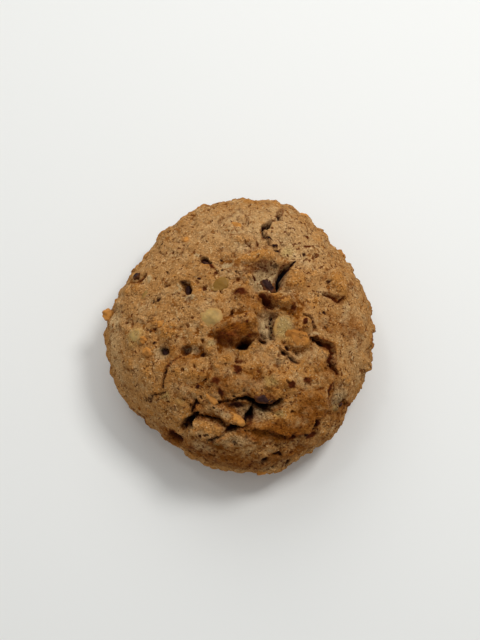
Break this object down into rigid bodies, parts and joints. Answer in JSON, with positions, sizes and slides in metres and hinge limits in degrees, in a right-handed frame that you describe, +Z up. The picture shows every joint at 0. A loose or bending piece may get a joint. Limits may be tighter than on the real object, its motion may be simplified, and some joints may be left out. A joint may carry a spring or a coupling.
{
  "type": "lemon ginger biscuit",
  "caption": "Domed, craggy hand-dropped lemon and ginger biscuit with cracks, ginger chunks, toasted nut bits and dark dried fruit, on a flat underside.",
  "frame": {"origin": "in the plane of the flat underside, below the middle of the dome", "axes": "+Z up out of the dome's top, -Y towards the side nearest the camera in the picture, +X to the right in it"},
  "size_m": [0.0678, 0.0706, 0.0338],
  "materials": {
    "crust": "matt, floury golden-brown crust with darker specks and toasted high places",
    "ginger": "pale straw-yellow candied ginger, slightly shiny and a little see-through",
    "nut": "toasted golden-orange nut, satin",
    "fruit": "dark purple-brown dried fruit, satin"
  },
  "bodies": {
    "root": {"biscuit": "crust"}
  },
  "joints": []
}
